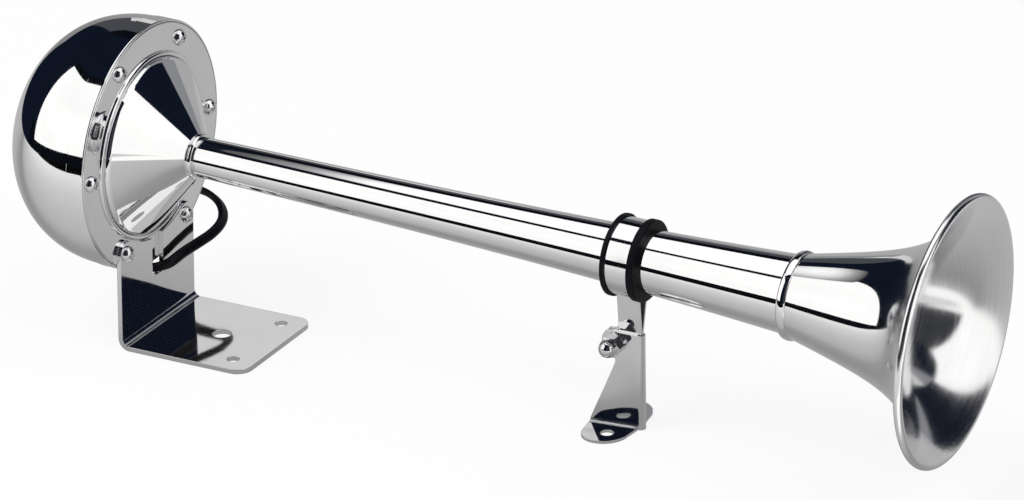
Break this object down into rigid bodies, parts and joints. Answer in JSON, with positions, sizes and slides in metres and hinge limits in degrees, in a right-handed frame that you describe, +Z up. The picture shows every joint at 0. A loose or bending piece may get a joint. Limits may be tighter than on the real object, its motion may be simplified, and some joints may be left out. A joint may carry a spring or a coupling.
{
  "type": "trumpet horn",
  "caption": "Electric single-trumpet horn in polished stainless steel, with a domed driver, a flared bell, a slotted rear bracket and a clamped front foot.",
  "frame": {"origin": "middle of the rear foot's underside", "axes": "+X from the driver to the bell, +Y to the left of it, +Z up from the mounting surface"},
  "size_m": [0.4712, 0.175, 0.1347],
  "materials": {
    "polished_steel": "polished",
    "fastener_steel": "bright",
    "plain_steel": "plain",
    "contact_brass": "plain",
    "winding": "enamelled",
    "insulation": "matte",
    "gasket": "matte",
    "black_rubber": "matte",
    "black_cord": "satin"
  },
  "bodies": {
    "root": {"rear_cover": "polished_steel", "front_cone": "polished_steel", "trumpet_tube": "polished_steel", "bell": "polished_steel", "rear_bracket": "polished_steel", "clamp_band": "polished_steel", "front_bracket": "polished_steel", "flange_screws": "fastener_steel", "bracket_screws": "fastener_steel", "flange_washers": "fastener_steel", "flange_nuts": "fastener_steel", "clamp_bolt": "fastener_steel", "clamp_lock_washer": "fastener_steel", "clamp_nut": "fastener_steel", "adjusting_screw": "fastener_steel", "adjusting_locknut": "fastener_steel", "contact_rivet": "fastener_steel", "ring_terminals": "fastener_steel", "cover_ring": "plain_steel", "driver_case": "plain_steel", "magnet_core": "plain_steel", "contact_support": "plain_steel", "diaphragm": "plain_steel", "contact_blade": "contact_brass", "fixed_contact": "contact_brass", "moving_point": "contact_brass", "fixed_point": "contact_brass", "terminal_screws": "contact_brass", "terminal_nuts": "contact_brass", "bare_wires": "contact_brass", "coil_winding": "winding", "coil_bobbin": "insulation", "contact_insulators": "insulation", "terminal_plate": "insulation", "core_leads": "insulation", "cord_cores": "insulation", "front_gasket": "gasket", "rear_gasket": "gasket", "cable_boot": "black_rubber", "clamp_liner": "black_rubber", "inner_cable": "black_cord", "power_cord": "black_cord", "cord_coil": "black_cord", "cord_tail": "black_cord"},
    "armature": {"armature": "plain_steel", "armature_rod": "plain_steel", "diaphragm_washer": "fastener_steel", "diaphragm_nut": "fastener_steel"}
  },
  "joints": [
    {"name": "armature_stroke", "type": "slide", "parent": "root", "child": "armature", "axis": [0.9995, 0, -0.0332], "range_m": [-0.0003, 0.0003], "stiffness_N_per_m": 2000, "deforming": ["diaphragm"]}
  ]
}
